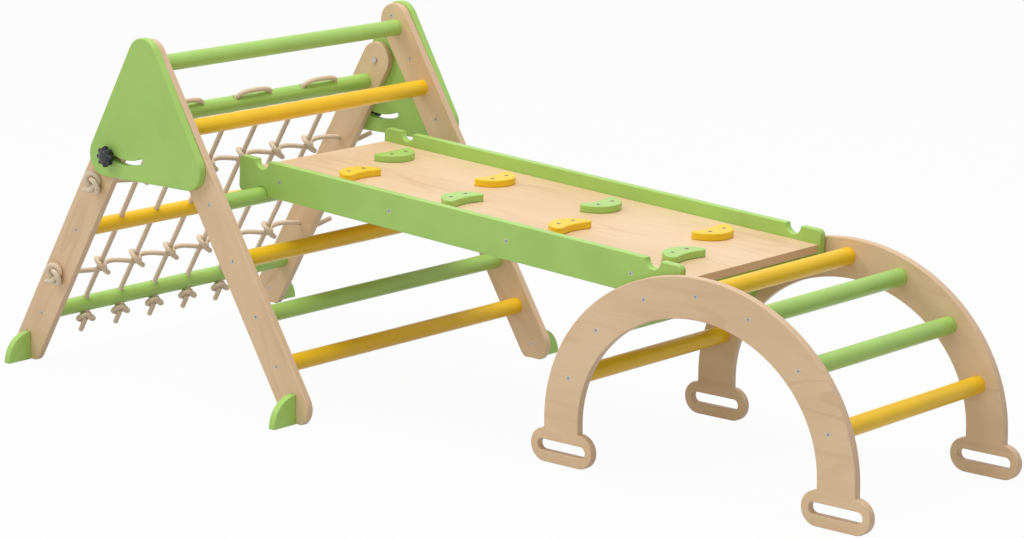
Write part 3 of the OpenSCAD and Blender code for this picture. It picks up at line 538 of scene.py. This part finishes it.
# Loop over the top rung: how its round is filled out sideways and upwards
LOOP_SINK, LOOP_RISE, LOOP_WIDE, LOOP_FULL, LOOP_STEPS = 0.4 * ROPE_D, 1.5 * ROPE_D, 0.75, 0.8, 31
# Hitch round a strand: angles in degrees, then radius and height in rope widths, each as a start
# and the changes that ease in between two angles
HITCH_FROM, HITCH_TO, HITCH_STEPS = -10, 450, 47
HITCH_RADIUS = (1.06, [(1.09, 240, 365), (-0.85, 378, 440)])
HITCH_HEIGHT = (-0.15, [(1.35, 60, 270), (-2.4, 300, 425)])
# Leads out of and into the bowed stretches of a cross rope, in rope widths
LEG_OUT, FIRST_INTO = (0, 2, 0), (0, -2, 0)
HITCH_OUT, HITCH_INTO = (-2.2, 0.9, 1.1), (0, -3.4, 0.8)
BOW_STEPS = 15


def knot(start, out, u, v, turn, tail, shape):
    """Overhand knot on the axis out from start, with u and v across it and its tail at the end."""
    start, out, u, v, tail = (np.array(x, float) for x in (start, out, u, v, tail))
    radius, swing, rise, stop = shape
    points = [start]
    for i in range(KNOT_STEPS + 1):
        degrees = KNOT_FROM + (stop - KNOT_FROM) * i / KNOT_STEPS
        a, w = math.radians(degrees), math.radians(turn + (degrees - KNOT_BACK) / KNOT_WINDS)
        r = radius + swing * math.cos(a)
        h = rise * (1 - math.sin(a)) + KNOT_NECK
        points.append(start + ROPE_D * (h * out + r * math.cos(w) * u + r * math.sin(w) * v))
    return points + [points[-1] + tail]


def strand_end(y):
    """Lower end of a strand: a bend into the plumb hole of the bottom rung, a knot and a tail."""
    place, out = np.array([0, y, 0]), np.array([0, y, STRAND_OUT])
    corner = CORNER + place
    start = corner + BEND_ARM * (out - corner) / np.linalg.norm(out - corner)
    stop = corner + BEND_ARM * PLUMB
    bend = [(1 - t) ** 2 * start + 2 * t * (1 - t) * corner + t * t * stop
            for t in np.linspace(0, 1, BEND_STEPS)]
    neck = HOLE + PLUMB * HOLE_REACH + place
    return [out] + bend + knot(neck, HANG_OUT, HANG_ACROSS, (0, 1, 0), NET_KNOT_TURN,
                               (0, 0, -ROPE_TAIL), NET_KNOT)


def net_rope(y0, y1):
    """One U of the net: up a strand, over the top rung and down its neighbour."""
    mid, half, top = (y0 + y1) / 2, (y1 - y0) / 2, RUNG_UPS[0] + RUNG_R - LOOP_SINK
    loop = []
    for a in np.linspace(0, math.pi, LOOP_STEPS):
        wide = math.copysign(abs(math.cos(a)) ** LOOP_WIDE, math.cos(a))
        rise = max(0.0, math.sin(a)) ** LOOP_FULL
        loop.append(np.array([0, mid - half * wide, top + LOOP_RISE * rise]))
    return strand_end(y0)[::-1] + loop + strand_end(y1)


def eased(a, course):
    """Value at an angle of a start and changes that each ease in between two angles."""
    value, changes = course
    for change, low, high in changes:
        t = min(1.0, max(0.0, (a - low) / (high - low)))
        value += change * (t * t * (3 - 2 * t))
    return value


def hitch(x, y, z):
    """Turns of a cross rope round a strand: two passes in front of it, the second across the
    first."""
    points = []
    for a in np.linspace(HITCH_FROM, HITCH_TO, HITCH_STEPS):
        r, h, w = eased(a, HITCH_RADIUS), eased(a, HITCH_HEIGHT), math.radians(a)
        turn = np.array([r * math.cos(w), r * math.sin(w), h])
        points.append(np.array([x, y, z]) + ROPE_D * turn)
    return points


def bowed(a, b, out, into):
    """Bowed stretch between two points, with a lead at each."""
    c, d = a + ROPE_D * np.array(out), b + ROPE_D * np.array(into)
    return [(1 - t) ** 3 * a + 3 * (1 - t) ** 2 * t * c + 3 * (1 - t) * t * t * d + t ** 3 * b
            for t in np.linspace(0, 1, BOW_STEPS)[1:-1]]


def cross_rope(up):
    """Rope from leg to leg: a knot outside each leg and a hitch round every strand."""
    x = 0.0
    if up <= STRAND_OUT:
        x = CORNER[0] * (STRAND_OUT - up) / (STRAND_OUT - CORNER[2])
    near, far = np.array([0, -NET_INNER_Y, up]), np.array([0, NET_INNER_Y, up])
    turns = [hitch(x, y, up) for y in STRAND_YS]
    points = knot((0, -NET_Y, up), (0, -1, 0), (0, 0, 1), (1, 0, 0), NEAR_KNOT_TURN,
                  ROPE_D * np.array(NEAR_TAIL), LEG_KNOT)[::-1]
    points += [near] + bowed(near, turns[0][0], LEG_OUT, FIRST_INTO)
    for turn, stop in zip(turns, [t[0] for t in turns[1:]] + [far]):
        points += turn + bowed(turn[-1], stop, HITCH_OUT, HITCH_INTO)
    return points + [far] + knot((0, NET_Y, up), (0, 1, 0), (0, 0, 1), (-1, 0, 0), FAR_KNOT_TURN,
                                 ROPE_D * np.array(FAR_TAIL), LEG_KNOT)


BRAID_STRANDS, BRAID_PITCH = 4, 30.0
# The braid's raw height counts from this far below zero, over this span
BRAID_FLOOR, BRAID_SPAN = 0.6, 2.4
# Share of the rope's radius at the floor of the braid, and what its strands add
ROPE_CORE, ROPE_RAISED = 0.955, 0.045
ROPE_SIDES, ROPE_STEP, EASE_ROUNDS, SAME_POINT = 20, 1.35, 3, 1e-6
# Length over which a cut end is rounded, and the least share of the section's area there
END_ROUND, END_LEAST = 3.0, 0.04
FIRST_NORMAL = (1.0, 0.3, 0.2)


def resample(points):
    """Even steps along a route, eased a little where its stretches meet."""
    points = np.array(points)
    points = points[np.r_[True, np.linalg.norm(np.diff(points, axis=0), axis=1) > SAME_POINT]]
    along = np.r_[0, np.cumsum(np.linalg.norm(np.diff(points, axis=0), axis=1))]
    at = np.linspace(0, along[-1], int(along[-1] / ROPE_STEP) + 1)
    even = np.stack([np.interp(at, along, points[:, k]) for k in range(3)], 1)
    for _ in range(EASE_ROUNDS):
        even[1:-1] = 0.25 * even[:-2] + 0.5 * even[1:-1] + 0.25 * even[2:]
    return even, at


def cross_axes(path):
    """Two axes across a path at each of its points, carried along it without a twist."""
    tangent = np.gradient(path, axis=0)
    tangent /= np.linalg.norm(tangent, axis=1)[:, None]
    normal = np.empty_like(path)
    lead = np.array(FIRST_NORMAL)
    for i, t in enumerate(tangent):
        lead = lead - lead.dot(t) * t
        lead /= np.linalg.norm(lead)
        normal[i] = lead
    return normal, np.cross(tangent, normal)


def braid_height(theta, along):
    """Height of the braid from 0 to 1: strands that wind both ways, over and under each other."""
    spin = 2 * math.pi * along / BRAID_PITCH
    one = BRAID_STRANDS * (theta[None, :] + spin[:, None])
    two = BRAID_STRANDS * (theta[None, :] - spin[:, None])
    over = np.cos(one / 2) * np.cos(two / 2)
    raised = np.maximum(np.cos(one) + over, np.cos(two) - over)
    return np.clip((raised + BRAID_FLOOR) / BRAID_SPAN, 0, 1)


def rope_piece(name, points, replaced):
    """Round braided cord along a route given in the net's frame."""
    path, along = resample(points)
    normal, side = cross_axes(path)
    theta = np.arange(ROPE_SIDES) * 2 * math.pi / ROPE_SIDES
    raised = braid_height(theta, along)
    radius = ROPE_D / 2 * (ROPE_CORE + ROPE_RAISED * raised)
    ends = np.clip(np.minimum(along, along[-1] - along) / END_ROUND, 0, 1)
    radius *= np.sqrt(np.clip(1 - (1 - ends) ** 2, END_LEAST, 1))[:, None]
    spokes = (np.cos(theta)[None, :, None] * normal[:, None, :]
              + np.sin(theta)[None, :, None] * side[:, None, :])
    flat = (path[:, None, :] + radius[:, :, None] * spokes).reshape(-1, 3) * MM
    world_co = (np.array(NET_FOOT) + flat[:, :1] * np.array(NET_RIGHT)
                + flat[:, 1:2] * np.array([0, 1, 0]) + flat[:, 2:] * np.array(NET_UP))
    mesh = bpy.data.meshes.new(name)
    mesh.from_pydata(world_co.tolist(), [], ring_faces(len(path), ROPE_SIDES))
    # The braid's height also drives the painted shade in the rope's crevices
    braid = mesh.attributes.new("braid", "FLOAT", "POINT")
    braid.data.foreach_set("value", raised.ravel().astype(np.float32))
    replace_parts(add_piece(name, mesh, cord_material, "net_frame"), replaced)


for k in range(STRANDS // 2):
    route = net_rope(STRAND_YS[2 * k], STRAND_YS[2 * k + 1])
    rope_piece(f"braided_net_rope_{k + 1}", route, f"net_rope_{k + 1}")
for row, up in CROSS_UPS.items():
    rope_piece(f"braided_cross_rope_{row}", cross_rope(up), f"cross_rope_{row}")

# ---------------------------------------------------------------- knobs
KNOB_R, KNOB_LOBES, KNOB_DIP, KNOB_STEPS = 24.0, 8, 0.26, 128
CLAMP_X, CLAMP_Z, KNOB_Y = -803.3591, 523.5457, 418.5
# Rings from the fold plate outwards: height and radius in millimetres, or, where the last value
# is 1, the share of the lobed outline instead of the radius
KNOB_RINGS = [
    (0.0, 12.6, 0), (0.7, 13.7, 0), (6.3, 13.7, 0), (7.0, 14.4, 0), (7.1, 0.80, 1),
    (7.7, 0.93, 1), (8.9, 0.985, 1), (10.4, 1.0, 1), (16.8, 1.0, 1), (18.6, 0.985, 1),
    (20.0, 0.94, 1), (20.9, 0.86, 1), (21.3, 0.74, 1), (21.4, 15.2, 0), (21.0, 14.6, 0),
]
CAP_RINGS = [
    (20.4, 14.3, 0), (21.6, 14.4, 0), (22.3, 14.0, 0), (23.3, 12.4, 0), (24.2, 9.4, 0),
    (24.8, 5.4, 0), (25.0, 1.2, 0),
]


def turned(name, rings, sign, material, body):
    """Turned solid on the clamp bolt's axis on one side, whose rings may follow the lobes."""
    co = []
    for h, r, lobed in rings:
        for i in range(KNOB_STEPS):
            a = 2 * math.pi * i / KNOB_STEPS
            size = r
            if lobed:
                size = r * KNOB_R * (1 - KNOB_DIP * (1 - math.cos(KNOB_LOBES * a)) / 2)
            x, z = CLAMP_X + size * math.cos(a), CLAMP_Z + size * math.sin(a)
            co.append((x * MM, sign * (KNOB_Y + h) * MM, z * MM))
    mesh = bpy.data.meshes.new(name)
    mesh.from_pydata(co, [], ring_faces(len(rings), KNOB_STEPS))
    work = bmesh.new()
    work.from_mesh(mesh)
    bmesh.ops.recalc_face_normals(work, faces=work.faces)
    work.to_mesh(mesh)
    work.free()
    return add_piece(name, mesh, material, body)


for side, sign in SIDES.items():
    body = f"clamp_knob_{side}"
    knob = turned(f"lobed_knob_{side}", KNOB_RINGS, sign, black_plastic, body)
    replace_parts(knob, f"knob_{side}")
    turned(f"knob_cap_{side}", CAP_RINGS, sign, grey_plastic, body)
